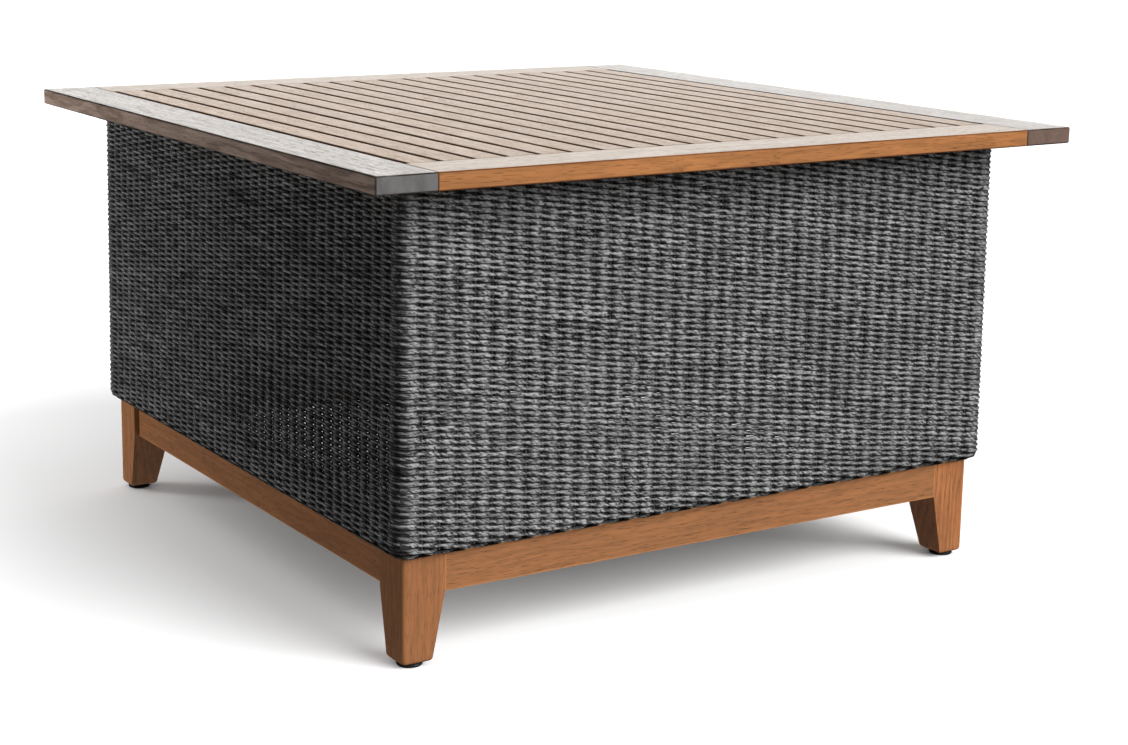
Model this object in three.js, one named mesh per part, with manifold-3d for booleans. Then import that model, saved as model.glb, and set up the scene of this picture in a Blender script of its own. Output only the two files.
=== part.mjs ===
// A square outdoor coffee table: a slatted wooden top on a hollow woven body, which is
// stretched over an aluminium tube frame and stands on a wooden base with four legs.
// Millimetres, +Z up. The origin is on the floor under the middle of the top, the front
// faces -Y, and the slats run from front to back.
import * as THREE from "three";
import { RoundedBoxGeometry } from "three/addons/geometries/RoundedBoxGeometry.js";
import { mergeVertices } from "three/addons/utils/BufferGeometryUtils.js";
import Module from "manifold-3d";

const wasm = await Module();
wasm.setup();

// Driving dimensions of the whole table
const TOP_SIDE = 914;
const TABLE_HEIGHT = 527;
const TOP_THICK = 19;
const BODY_SIDE = 795;
const BASE_TOP = 121;
const BASE_RAIL_BOTTOM = 79;
const CLEARANCE = 0.3;

// Top: two full-depth stiles, two rails between them, the slats and the battens below
const STILE_WIDTH = 69;
const SLAT_COUNT = 20;
const SLAT_GAP = 5;
const BOARD_ROUND = 2.2;
const BOARD_ROUND_STEPS = 3;
const SLAT_ROUND = 1.2;
const TONGUE_LENGTH = 8;
const TONGUE_THICK = 6;
const TOP_TENON_LENGTH = 22;
const TOP_TENON_WIDTH = 45;
const BATTEN_WIDTH = 40;
const BATTEN_THICK = 18;
const BATTEN_SPACING = 250;

// Body: a woven skin over a square-tube frame, open underneath
const SKIN_THICK = 9.5;
const SKIN_CORNER_ROUND = 12;
const SKIN_BOTTOM_ROUND = 10;
const SKIN_BOTTOM_THICK = 9.5;
const SKIN_LIP = 34;
const TUBE_SIDE = 22;
const TUBE_WALL = 1.6;

// Base: legs straight outside and tapered inside, tenoned rails, levelling glides
const LEG_INSET = 68;
const LEG_WIDTH = 50;
const FOOT_WIDTH = 35;
const LEG_EDGE_ROUND = 4;
const FOOT_EDGE_ROUND = 5;
const BASE_RAIL_THICK = 22;
const BASE_RAIL_ROUND = 1.5;
const SIDE_RAIL_SETBACK = 5;
const BASE_TENON_LENGTH = 15;
const BASE_TENON_THICK = 10;
const BASE_TENON_HEIGHT = 28;
const GLIDE_HEIGHT = 5;
const GLIDE_DIAMETER = 28;
const GLIDE_ROUND = 1.2;
const STEM_DIAMETER = 8;
const STEM_LENGTH = 24;
const STEM_HOLE_DEPTH = 30;
const INSERT_DIAMETER = 12;
const INSERT_LENGTH = 20;
const TURNED_SEGMENTS = 32;

// Positions that follow from the driving dimensions
const TOP_UNDERSIDE = TABLE_HEIGHT - TOP_THICK;
const TOP_MIDDLE = TABLE_HEIGHT - TOP_THICK / 2;
const PANEL_SIDE = TOP_SIDE - 2 * STILE_WIDTH;
const TOP_BORDER_CENTRE = (TOP_SIDE - STILE_WIDTH) / 2;
const SLAT_WIDTH = (PANEL_SIDE - (SLAT_COUNT + 1) * SLAT_GAP) / SLAT_COUNT;
const SKIN_BOTTOM = BASE_TOP + CLEARANCE;
const FRAME_BOTTOM = SKIN_BOTTOM + SKIN_BOTTOM_THICK + CLEARANCE;
const FRAME_TOP = TOP_UNDERSIDE - CLEARANCE;
const FRAME_HALF = BODY_SIDE / 2 - SKIN_THICK - CLEARANCE;
const TUBE_CENTRE = FRAME_HALF - TUBE_SIDE / 2;
const FRAME_SPAN = 2 * (FRAME_HALF - TUBE_SIDE - CLEARANCE);
const LEG_OUTER = TOP_SIDE / 2 - LEG_INSET;
const LEG_INNER = LEG_OUTER - LEG_WIDTH;
const BASE_RAIL_HEIGHT = BASE_TOP - BASE_RAIL_BOTTOM;
const BASE_RAIL_MIDDLE = (BASE_TOP + BASE_RAIL_BOTTOM) / 2;
const FRONT_RAIL_CENTRE = LEG_OUTER - BASE_RAIL_THICK / 2;
const SIDE_RAIL_CENTRE = FRONT_RAIL_CENTRE - SIDE_RAIL_SETBACK;
const GLIDE_CENTRE = LEG_OUTER - FOOT_WIDTH / 2;
const FAR = 2 * TOP_SIDE;

// The sides by the quarter turns that bring the front onto each, and the corners by the
// signs of X and Y and the quarter turns that bring the front left corner onto each
const SIDES = { front: 0, right: 1, back: 2, left: 3 };
const CORNERS = {
  front_left: { xSide: -1, ySide: -1, turns: 0 },
  front_right: { xSide: 1, ySide: -1, turns: 1 },
  back_right: { xSide: 1, ySide: 1, turns: 2 },
  back_left: { xSide: -1, ySide: 1, turns: 3 },
};
const QUARTER_TURN = Math.PI / 2;

const FINISHES = {
  weathered_wood: { color: 0xc9bba9, roughness: 0.75, metalness: 0 },
  rail_wood: { color: 0xc58a5a, roughness: 0.6, metalness: 0 },
  base_wood: { color: 0x9a6840, roughness: 0.55, metalness: 0 },
  wicker: { color: 0x55565a, roughness: 0.6, metalness: 0 },
  aluminium: { color: 0x9da0a3, roughness: 0.45, metalness: 0.9 },
  brass: { color: 0xb08d3c, roughness: 0.4, metalness: 0.9 },
  black_plastic: { color: 0x1a1a1b, roughness: 0.55, metalness: 0 },
};

function piece(name, geometry, finish) {
  const mesh = new THREE.Mesh(geometry, new THREE.MeshStandardMaterial(FINISHES[finish]));
  mesh.name = name;
  return mesh;
}

// Boolean work, with three.js geometry in and three.js geometry out

function solidOf(geometry) {
  const bare = geometry.clone();
  bare.deleteAttribute("normal");
  bare.deleteAttribute("uv");
  const merged = mergeVertices(bare, 1e-4);
  const vertProperties = new Float32Array(merged.attributes.position.array);
  const triVerts = new Uint32Array(merged.index.array);
  return new wasm.Manifold(new wasm.Mesh({ numProp: 3, vertProperties, triVerts }));
}

function geometryOf(solid) {
  const { vertProperties, triVerts } = solid.getMesh();
  const geometry = new THREE.BufferGeometry();
  geometry.setAttribute("position", new THREE.BufferAttribute(vertProperties, 3));
  geometry.setIndex(new THREE.BufferAttribute(triVerts, 1));
  geometry.computeVertexNormals();
  return geometry;
}

function combine(operation, first, others) {
  const join = (solid, other) => solid[operation](solidOf(other));
  return geometryOf(others.reduce(join, solidOf(first)));
}

const joined = (first, ...others) => combine("add", first, others);
const cut = (first, ...others) => combine("subtract", first, others);
const common = (first, ...others) => combine("intersect", first, others);

// Shapes that several pieces use

// A box about a centre, grown on every side by an optional margin
function box(size, centre, margin = 0) {
  const [width, depth, height] = size.map((length) => length + 2 * margin);
  return new THREE.BoxGeometry(width, depth, height).translate(...centre);
}

function roundedRectangle(width, height, radius) {
  const [x, y] = [width / 2 - radius, height / 2 - radius];
  const shape = new THREE.Shape();
  shape.absarc(x, y, radius, 0, QUARTER_TURN);
  shape.absarc(-x, y, radius, QUARTER_TURN, 2 * QUARTER_TURN);
  shape.absarc(-x, -y, radius, 2 * QUARTER_TURN, 3 * QUARTER_TURN);
  shape.absarc(x, -y, radius, 3 * QUARTER_TURN, 4 * QUARTER_TURN);
  return shape;
}

// A bar along Y about the origin, with its four long edges rounded
function bar(width, thick, length, radius) {
  const options = { depth: length, bevelEnabled: false, curveSegments: BOARD_ROUND_STEPS };
  const geometry = new THREE.ExtrudeGeometry(roundedRectangle(width, thick, radius), options);
  return geometry.translate(0, 0, -length / 2).rotateX(QUARTER_TURN);
}

// An upright cylinder between two heights
function peg(diameter, bottom, top, x, y) {
  const radius = diameter / 2;
  const geometry = new THREE.CylinderGeometry(radius, radius, top - bottom, TURNED_SEGMENTS);
  return geometry.rotateX(QUARTER_TURN).translate(x, y, (bottom + top) / 2);
}

// Tabletop

// The tenons on both ends of a top rail, as one bar through the rail
function topTenons(ySide, margin = 0) {
  const size = [PANEL_SIDE + 2 * TOP_TENON_LENGTH, TOP_TENON_WIDTH, TONGUE_THICK];
  return box(size, [0, ySide * TOP_BORDER_CENTRE, 0], margin);
}

function topStile(xSide, name) {
  const board = new RoundedBoxGeometry(
    STILE_WIDTH, TOP_SIDE, TOP_THICK, BOARD_ROUND_STEPS, BOARD_ROUND,
  );
  board.translate(xSide * TOP_BORDER_CENTRE, 0, 0);
  const mortises = [-1, 1].map((ySide) => topTenons(ySide, CLEARANCE));
  const stile = piece(name, cut(board, ...mortises), "weathered_wood");
  stile.position.z = TOP_MIDDLE;
  return stile;
}

function topRail(ySide, name) {
  const board = bar(STILE_WIDTH, TOP_THICK, PANEL_SIDE - 2 * CLEARANCE, BOARD_ROUND);
  board.rotateZ(QUARTER_TURN).translate(0, ySide * TOP_BORDER_CENTRE, 0);
  const grooveSize = [PANEL_SIDE - 2 * SLAT_GAP, 2 * TONGUE_LENGTH, TONGUE_THICK];
  const groove = box(grooveSize, [0, ySide * PANEL_SIDE / 2, 0], CLEARANCE);
  const rail = piece(name, joined(cut(board, groove), topTenons(ySide)), "rail_wood");
  rail.position.z = TOP_MIDDLE;
  return rail;
}

// The slats' tongues slide in the grooves of the two rails
function slats() {
  const length = PANEL_SIDE - 2 * CLEARANCE;
  const board = bar(SLAT_WIDTH, TOP_THICK, length, SLAT_ROUND);
  const tongueSpan = length + 2 * TONGUE_LENGTH - CLEARANCE;
  const tongueSize = [SLAT_WIDTH - 2 * SLAT_ROUND, tongueSpan, TONGUE_THICK];
  const geometry = joined(board, box(tongueSize, [0, 0, 0]));
  const firstX = SLAT_GAP + SLAT_WIDTH / 2 - PANEL_SIDE / 2;
  return Array.from({ length: SLAT_COUNT }, (_, index) => {
    const number = String(index + 1).padStart(2, "0");
    const slat = piece(`slat_${number}`, geometry, "weathered_wood");
    slat.position.set(firstX + index * (SLAT_WIDTH + SLAT_GAP), 0, TOP_MIDDLE);
    return slat;
  });
}

// Battens run across under the slats, between the top tubes of the frame
function battens() {
  const board = bar(BATTEN_WIDTH, BATTEN_THICK, FRAME_SPAN, SLAT_ROUND).rotateZ(QUARTER_TURN);
  return ["front", "middle", "back"].map((place, index) => {
    const batten = piece(`top_batten_${place}`, board, "weathered_wood");
    batten.position.set(0, (index - 1) * BATTEN_SPACING, FRAME_TOP - BATTEN_THICK / 2);
    return batten;
  });
}

function tabletop() {
  const group = new THREE.Group();
  group.add(topStile(-1, "top_stile_left"), topStile(1, "top_stile_right"));
  group.add(topRail(-1, "top_rail_front"), topRail(1, "top_rail_back"));
  group.add(...slats(), ...battens());
  return group;
}

// Tube frame

function squareOutline(half) {
  const corners = [[-half, -half], [half, -half], [half, half], [-half, half]];
  return corners.map(([x, y]) => new THREE.Vector2(x, y));
}

// An open-ended square tube along Z about the origin
function tube(length) {
  const section = new THREE.Shape(squareOutline(TUBE_SIDE / 2));
  section.holes.push(new THREE.Path(squareOutline(TUBE_SIDE / 2 - TUBE_WALL).reverse()));
  const geometry = new THREE.ExtrudeGeometry(section, { depth: length, bevelEnabled: false });
  return geometry.translate(0, 0, -length / 2);
}

function tubeFrame() {
  const group = new THREE.Group();
  const post = tube(FRAME_TOP - FRAME_BOTTOM);
  for (const [corner, { xSide, ySide }] of Object.entries(CORNERS)) {
    const mesh = piece(`frame_post_${corner}`, post, "aluminium");
    mesh.position.set(xSide * TUBE_CENTRE, ySide * TUBE_CENTRE, (FRAME_BOTTOM + FRAME_TOP) / 2);
    group.add(mesh);
  }
  const rail = tube(FRAME_SPAN).rotateY(QUARTER_TURN);
  for (const [side, turns] of Object.entries(SIDES)) {
    const holder = new THREE.Group();
    holder.rotation.z = turns * QUARTER_TURN;
    const bottom = piece(`frame_bottom_tube_${side}`, rail, "aluminium");
    bottom.position.set(0, -TUBE_CENTRE, FRAME_BOTTOM + TUBE_SIDE / 2);
    const top = piece(`frame_top_tube_${side}`, rail, "aluminium");
    top.position.set(0, -TUBE_CENTRE, FRAME_TOP - TUBE_SIDE / 2);
    holder.add(bottom, top);
    group.add(holder);
  }
  return group;
}

// Woven skin

// A hollow box with rounded corners whose lower edge turns in under the frame
function skinShell() {
  const core = BODY_SIDE - 2 * SKIN_BOTTOM_ROUND;
  const coreOutline = roundedRectangle(core, core, SKIN_CORNER_ROUND - SKIN_BOTTOM_ROUND);
  const outer = new THREE.ExtrudeGeometry(coreOutline, {
    depth: FRAME_TOP - SKIN_BOTTOM,
    bevelThickness: SKIN_BOTTOM_ROUND,
    bevelSize: SKIN_BOTTOM_ROUND,
    bevelSegments: 4,
    curveSegments: 5,
  });
  outer.translate(0, 0, SKIN_BOTTOM + SKIN_BOTTOM_ROUND);
  const above = box([FAR, FAR, FAR], [0, 0, FRAME_TOP + FAR / 2]);
  const roomSide = BODY_SIDE - 2 * SKIN_THICK;
  const room = box([roomSide, roomSide, FAR], [0, 0, SKIN_BOTTOM + SKIN_BOTTOM_THICK + FAR / 2]);
  const mouthSide = BODY_SIDE - 2 * SKIN_LIP;
  const mouth = box([mouthSide, mouthSide, FAR], [0, 0, 0]);
  return cut(outer, above, room, mouth);
}

// Everything that is nearer to the front side than to any other side
function frontWedge() {
  const outline = [[0, -CLEARANCE], [-FAR, -CLEARANCE - FAR], [FAR, -CLEARANCE - FAR]];
  const shape = new THREE.Shape(outline.map(([x, y]) => new THREE.Vector2(x, y)));
  return new THREE.ExtrudeGeometry(shape, { depth: FAR, bevelEnabled: false });
}

function wovenSkin() {
  const group = new THREE.Group();
  const shell = skinShell();
  for (const [side, turns] of Object.entries(SIDES)) {
    const wedge = frontWedge().rotateZ(turns * QUARTER_TURN);
    group.add(piece(`wicker_${side}`, common(shell, wedge), "wicker"));
  }
  return group;
}

// Wooden base

// The tenons on both ends of a base rail, as one bar through the rail
function baseTenons(ySide, margin = 0) {
  const size = [2 * (LEG_INNER + BASE_TENON_LENGTH), BASE_TENON_THICK, BASE_TENON_HEIGHT];
  return box(size, [0, ySide * FRONT_RAIL_CENTRE, BASE_RAIL_MIDDLE], margin);
}

// The same for a side rail, which runs along Y
function sideTenons(xSide, margin = 0) {
  const size = [BASE_TENON_THICK, 2 * (LEG_INNER + BASE_TENON_LENGTH), BASE_TENON_HEIGHT];
  return box(size, [xSide * SIDE_RAIL_CENTRE, 0, BASE_RAIL_MIDDLE], margin);
}

function baseRails() {
  const length = 2 * (LEG_INNER - CLEARANCE);
  const side = bar(BASE_RAIL_THICK, BASE_RAIL_HEIGHT, length, BASE_RAIL_ROUND);
  side.translate(0, 0, BASE_RAIL_MIDDLE);
  const front = side.clone().rotateZ(QUARTER_TURN);
  const frontRail = (ySide) => {
    const board = front.clone().translate(0, ySide * FRONT_RAIL_CENTRE, 0);
    return joined(board, baseTenons(ySide));
  };
  const sideRail = (xSide) => {
    const board = side.clone().translate(xSide * SIDE_RAIL_CENTRE, 0, 0);
    return joined(board, sideTenons(xSide));
  };
  return [
    piece("base_rail_front", frontRail(-1), "base_wood"),
    piece("base_rail_back", frontRail(1), "base_wood"),
    piece("base_rail_left", sideRail(-1), "base_wood"),
    piece("base_rail_right", sideRail(1), "base_wood"),
  ];
}

// Side view of a leg: the outer face is x = 0, and the inner face tapers below the rail
function legOutline() {
  const round = FOOT_EDGE_ROUND;
  const slope = (LEG_WIDTH - FOOT_WIDTH) / (BASE_RAIL_BOTTOM - GLIDE_HEIGHT);
  const shape = new THREE.Shape();
  shape.moveTo(0, BASE_TOP);
  shape.lineTo(0, GLIDE_HEIGHT + round);
  shape.quadraticCurveTo(0, GLIDE_HEIGHT, round, GLIDE_HEIGHT);
  shape.lineTo(FOOT_WIDTH - round, GLIDE_HEIGHT);
  shape.quadraticCurveTo(FOOT_WIDTH, GLIDE_HEIGHT, FOOT_WIDTH + slope * round, GLIDE_HEIGHT + round);
  shape.lineTo(LEG_WIDTH, BASE_RAIL_BOTTOM);
  shape.lineTo(LEG_WIDTH, BASE_TOP);
  return shape;
}

// The front left leg: its side view along Y, the same view along X, and its plan
function frontLeftLeg() {
  const options = { depth: LEG_WIDTH, bevelEnabled: false, curveSegments: 4 };
  const alongY = new THREE.ExtrudeGeometry(legOutline(), options).rotateX(QUARTER_TURN);
  alongY.translate(0, LEG_WIDTH, 0);
  const alongX = alongY.clone().rotateZ(QUARTER_TURN).translate(LEG_WIDTH, 0, 0);
  const planOutline = roundedRectangle(LEG_WIDTH, LEG_WIDTH, LEG_EDGE_ROUND);
  const plan = new THREE.ExtrudeGeometry(planOutline, { ...options, depth: BASE_TOP });
  plan.translate(LEG_WIDTH / 2, LEG_WIDTH / 2, 0);
  return common(alongY, alongX, plan).translate(-LEG_OUTER, -LEG_OUTER, 0);
}

function legs() {
  const insertHoleTop = GLIDE_HEIGHT + INSERT_LENGTH + 2 * CLEARANCE;
  const stemHoleTop = GLIDE_HEIGHT + STEM_HOLE_DEPTH;
  return Object.entries(CORNERS).map(([corner, { xSide, ySide, turns }]) => {
    const blank = frontLeftLeg().rotateZ(turns * QUARTER_TURN);
    const centre = [xSide * GLIDE_CENTRE, ySide * GLIDE_CENTRE];
    const geometry = cut(
      blank,
      baseTenons(ySide, CLEARANCE),
      sideTenons(xSide, CLEARANCE),
      peg(INSERT_DIAMETER + 2 * CLEARANCE, 0, insertHoleTop, ...centre),
      peg(STEM_DIAMETER + 2 * CLEARANCE, 0, stemHoleTop, ...centre),
    );
    return piece(`leg_${corner}`, geometry, "base_wood");
  });
}

// A shape turned about the upright axis, from its outline as radius and height
function turned(outline) {
  const points = outline.map(([radius, height]) => new THREE.Vector2(radius, height));
  return new THREE.LatheGeometry(points, TURNED_SEGMENTS).rotateX(QUARTER_TURN);
}

// The sleeve driven into the foot of a leg, which the stem of the glide screws into
function insertGeometry() {
  const [inner, outer] = [STEM_DIAMETER / 2 + CLEARANCE, INSERT_DIAMETER / 2];
  const bottom = GLIDE_HEIGHT + CLEARANCE;
  const top = bottom + INSERT_LENGTH;
  return turned([[inner, bottom], [outer, bottom], [outer, top], [inner, top], [inner, bottom]]);
}

// A round pad with rounded edges and the screw stem above it
function glideGeometry() {
  const [pad, stem] = [GLIDE_DIAMETER / 2, STEM_DIAMETER / 2];
  const top = GLIDE_HEIGHT - CLEARANCE;
  return turned([
    [0, 0],
    [pad - GLIDE_ROUND, 0],
    [pad, GLIDE_ROUND],
    [pad, top - GLIDE_ROUND],
    [pad - GLIDE_ROUND, top],
    [stem, top],
    [stem, top + STEM_LENGTH],
    [0, top + STEM_LENGTH],
  ]);
}

function feet() {
  const insert = insertGeometry();
  const glide = glideGeometry();
  return Object.entries(CORNERS).map(([corner, { xSide, ySide }]) => {
    const foot = new THREE.Group();
    foot.position.set(xSide * GLIDE_CENTRE, ySide * GLIDE_CENTRE, 0);
    foot.add(piece(`glide_insert_${corner}`, insert, "brass"));
    foot.add(piece(`glide_${corner}`, glide, "black_plastic"));
    return foot;
  });
}

function base() {
  const group = new THREE.Group();
  group.add(...baseRails(), ...legs(), ...feet());
  return group;
}

const table = new THREE.Group();
table.add(tabletop(), tubeFrame(), wovenSkin(), base());
export default table;
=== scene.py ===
"""A square garden coffee table: a slatted hardwood top over a woven body on a low wooden base.

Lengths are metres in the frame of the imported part: +Z is up, the front faces -Y, and the middle is at
x = y = 0. Every piece takes its place and size from the box of the node that it stands for.
"""

import math

import bmesh
import bpy
import numpy as np
from mathutils import Matrix, Vector


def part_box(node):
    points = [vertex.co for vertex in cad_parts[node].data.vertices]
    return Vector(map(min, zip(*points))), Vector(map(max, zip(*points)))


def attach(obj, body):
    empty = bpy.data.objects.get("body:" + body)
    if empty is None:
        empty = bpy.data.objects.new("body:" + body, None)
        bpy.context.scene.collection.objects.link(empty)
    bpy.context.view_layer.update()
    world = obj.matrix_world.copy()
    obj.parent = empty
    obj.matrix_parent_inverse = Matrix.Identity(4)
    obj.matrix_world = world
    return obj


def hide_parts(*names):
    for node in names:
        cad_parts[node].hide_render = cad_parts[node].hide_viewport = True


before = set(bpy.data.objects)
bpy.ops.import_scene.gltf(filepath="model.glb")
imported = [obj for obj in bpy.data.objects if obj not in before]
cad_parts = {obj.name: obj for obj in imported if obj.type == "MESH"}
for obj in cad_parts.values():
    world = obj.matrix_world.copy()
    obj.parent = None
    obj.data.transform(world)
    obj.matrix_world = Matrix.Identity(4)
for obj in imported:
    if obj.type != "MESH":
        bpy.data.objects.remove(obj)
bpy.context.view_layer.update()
random = np.random.default_rng(7)

MM = 0.001
SIDES = ("front", "right", "back", "left")
CORNERS = ("front_left", "front_right", "back_right", "back_left")
SLATS = sorted(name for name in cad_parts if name.startswith("slat_"))
QUARTER_TURN = math.pi / 2


# ---------------------------------------------------------------- camera, lights and floor

CAMERA_PLACE = Vector((-1.3666, -2.1563, 0.7989))
CAMERA_HEADING = math.radians(31.664)  # from +Y towards +X
CAMERA_PITCH = math.radians(11.406)  # down from level
CAMERA_ROLL = math.radians(0.678)
CAMERA_LENS = 66.24
CAMERA_SHIFT = (0.0567, -0.0643)
FLOOR_SIZE = 80.0


def make_camera():
    heading = Matrix.Rotation(-CAMERA_HEADING, 3, "Z")
    tilt = Matrix.Rotation(math.pi / 2 - CAMERA_PITCH, 3, "X")
    roll = Matrix.Rotation(CAMERA_ROLL, 3, "Z")
    camera = bpy.data.cameras.new("camera")
    camera.lens = CAMERA_LENS
    camera.shift_x, camera.shift_y = CAMERA_SHIFT
    camera.clip_end = 200
    stand = bpy.data.objects.new("camera", camera)
    stand.matrix_world = Matrix.Translation(CAMERA_PLACE) @ (heading @ tilt @ roll).to_4x4()
    bpy.context.scene.collection.objects.link(stand)
    bpy.context.scene.camera = stand


def make_light(name, kind, place, target, power, **settings):
    light = bpy.data.lights.new(name, kind)
    light.energy = power
    for key, value in settings.items():
        setattr(light, key, value)
    lamp = bpy.data.objects.new(name, light)
    lamp.location = place
    lamp.rotation_euler = (Vector(target) - Vector(place)).to_track_quat("-Z", "Y").to_euler()
    lamp.visible_camera = False
    bpy.context.scene.collection.objects.link(lamp)
    return lamp


def make_lights(floor):
    """A soft studio: a low key from the front right, a weak fill from the back left, a little light thrown
    up round the legs, a bright screen behind the table that shows only as the sheen on its top, and a lamp
    overhead for the floor alone. Only the screen is seen in reflections."""
    key = make_light("key", "SUN", (1.9, -3.4, 2.0), (0, 0, 0), 6.0, angle=math.radians(50))
    key.visible_glossy = False
    fill = make_light("fill", "AREA", (-1.3, 1.2, 0.25), (-0.4, 0.3, 0.1), 16, shape="DISK", size=0.4)
    fill.visible_glossy = False
    bounce = make_light("bounce", "AREA", (0, 0, 0.005), (0, 0, 1), 4, shape="SQUARE", size=1.8)
    bounce.visible_glossy = False
    screen = make_light(
        "screen", "AREA", (2.9, 4.7, 1.75), (0, 0, 0.53), 98,
        shape="RECTANGLE", size=6.0, size_y=2.4,
    )
    screen.visible_diffuse = False
    overhead = make_light("overhead", "SUN", (0, 0, 5), (0, 0, 0), 2.6, angle=math.pi)
    lit_alone = bpy.data.collections.new("lit_alone")
    lit_alone.objects.link(floor)
    overhead.light_linking.receiver_collection = lit_alone
    make_world(0.06)


def make_world(strength):
    world = bpy.data.worlds.new("studio")
    world.use_nodes = True
    background = world.node_tree.nodes["Background"]
    background.inputs["Color"].default_value = (1.0, 1.0, 1.0, 1)
    background.inputs["Strength"].default_value = strength
    bpy.context.scene.world = world
    bpy.context.scene.view_settings.view_transform = "Standard"


def make_floor(material):
    """A pale floor that throws no light back up, as if the table stood in a larger and darker room."""
    half = FLOOR_SIZE / 2
    mesh = bpy.data.meshes.new("floor")
    corners = [(-half, -half, 0), (half, -half, 0), (half, half, 0), (-half, half, 0)]
    mesh.from_pydata(corners, [], [(0, 1, 2, 3)])
    mesh.materials.append(material)
    floor = bpy.data.objects.new("floor", mesh)
    floor.visible_diffuse = False
    floor.visible_glossy = False
    bpy.context.scene.collection.objects.link(floor)
    return floor


# ---------------------------------------------------------------- material building blocks

class Look:
    """A material made by adding nodes one call at a time. Every call gives back the socket it made."""

    def __init__(self, name, roughness=0.5, metallic=0.0, specular=0.5):
        self.material = bpy.data.materials.new(name)
        self.material.use_nodes = True
        self.tree = self.material.node_tree
        self.shader = self.tree.nodes["Principled BSDF"]
        self.shader.inputs["Roughness"].default_value = roughness
        self.shader.inputs["Metallic"].default_value = metallic
        self.shader.inputs["Specular IOR Level"].default_value = specular

    def add(self, kind, inputs, output=0, **settings):
        node = self.tree.nodes.new("ShaderNode" + kind)
        for key, value in settings.items():
            setattr(node, key, value)
        for socket, value in inputs.items():
            if isinstance(value, bpy.types.NodeSocket):
                self.tree.links.new(value, node.inputs[socket])
            else:
                node.inputs[socket].default_value = value
        return node.outputs[output]

    def attribute(self, name, output):
        return self.add("Attribute", {}, output, attribute_name=name)

    def place(self):
        """The point on the surface, in the object's own frame."""
        return self.add("TexCoord", {}, "Object")

    def stretch(self, at, scale, turn=(0, 0, 0)):
        return self.add("Mapping", {"Vector": at, "Scale": scale, "Rotation": turn})

    def noise(self, at, detail=2.0, roughness=0.5):
        sockets = {"Vector": at, "Scale": 1.0, "Detail": detail, "Roughness": roughness}
        return self.add("TexNoise", sockets)

    def maths(self, operation, a, b=0.0):
        return self.add("Math", {0: a, 1: b}, operation=operation)

    def between(self, value, low, high, to_low=0.0, to_high=1.0):
        """Eases from to_low to to_high while value goes from low to high."""
        sockets = {"Value": value, "From Min": low, "From Max": high, "To Min": to_low, "To Max": to_high}
        return self.add("MapRange", sockets, interpolation_type="SMOOTHSTEP")

    def mix(self, amount, a, b, blend="MIX"):
        """Colour a going to colour b."""
        sockets = {0: amount, 6: colour(a), 7: colour(b)}
        return self.add("Mix", sockets, 2, data_type="RGBA", blend_type=blend)

    def finish(self, base, roughness, height, depth):
        """Sets the colour, the roughness and a bump of that depth in metres."""
        self.tree.links.new(base, self.shader.inputs["Base Color"])
        self.tree.links.new(roughness, self.shader.inputs["Roughness"])
        bump = self.add("Bump", {"Height": height, "Distance": depth, "Strength": 1.0})
        self.tree.links.new(bump, self.shader.inputs["Normal"])
        return self.material


def colour(value):
    return value if isinstance(value, bpy.types.NodeSocket) else (*value, 1.0)


# ---------------------------------------------------------------- materials

def wood_pattern(look, grain):
    """What shows on any face: growth rings, fibres, open pores and cloudy patches."""
    across = look.add("VectorMath", {0: look.stretch(grain, (0, 1, 1))}, "Value", operation="LENGTH")
    wander = look.noise(look.stretch(grain, (3, 20, 20)), detail=4, roughness=0.6)
    phase = look.maths("ADD", look.maths("MULTIPLY", across, 900), look.maths("MULTIPLY", wander, 45))
    rings = look.between(look.maths("SINE", phase), -0.6, 1.0)
    fibres = look.noise(look.stretch(grain, (18, 330, 330)), detail=5, roughness=0.7)
    pores = look.between(look.noise(look.stretch(grain, (70, 1300, 1300)), detail=1), 0.60, 0.72)
    clouds = look.noise(look.stretch(grain, (7, 26, 26)), detail=4, roughness=0.65)
    return rings, fibres, pores, clouds


def pale_top_weather_and_sheen(look, base, top_weather_and_sheen, figure, tone):
    """The base colour, going paler on the faces that look up: partly bleaching by sun and rain, partly
    painted sheen, the reflection of a bright backdrop.
    """
    facing = look.add("SeparateXYZ", {0: look.add("NewGeometry", {}, "Normal")}, 2)
    pale = look.mix(figure, top_weather_and_sheen, [0.74 * c for c in top_weather_and_sheen])
    pale = look.mix(look.between(tone, -1, 1, 0, 0.25), pale, [0.7 * c for c in top_weather_and_sheen])
    return look.mix(look.between(facing, 0.8, 1.0, 0, 0.85), base, pale)


def sawn_end(look, grain, tone, end, warm_end):
    """The smudged colour of a sawn end: warm_end on boards of a low tone and end on those of a high one."""
    base = look.mix(look.between(tone, -0.9, 0.9), warm_end, end)
    smudges = look.noise(look.stretch(grain, (30, 30, 90)), detail=3)
    return look.mix(look.between(smudges, 0.35, 0.7, 0, 0.5), base, [0.4 * c for c in end])


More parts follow.
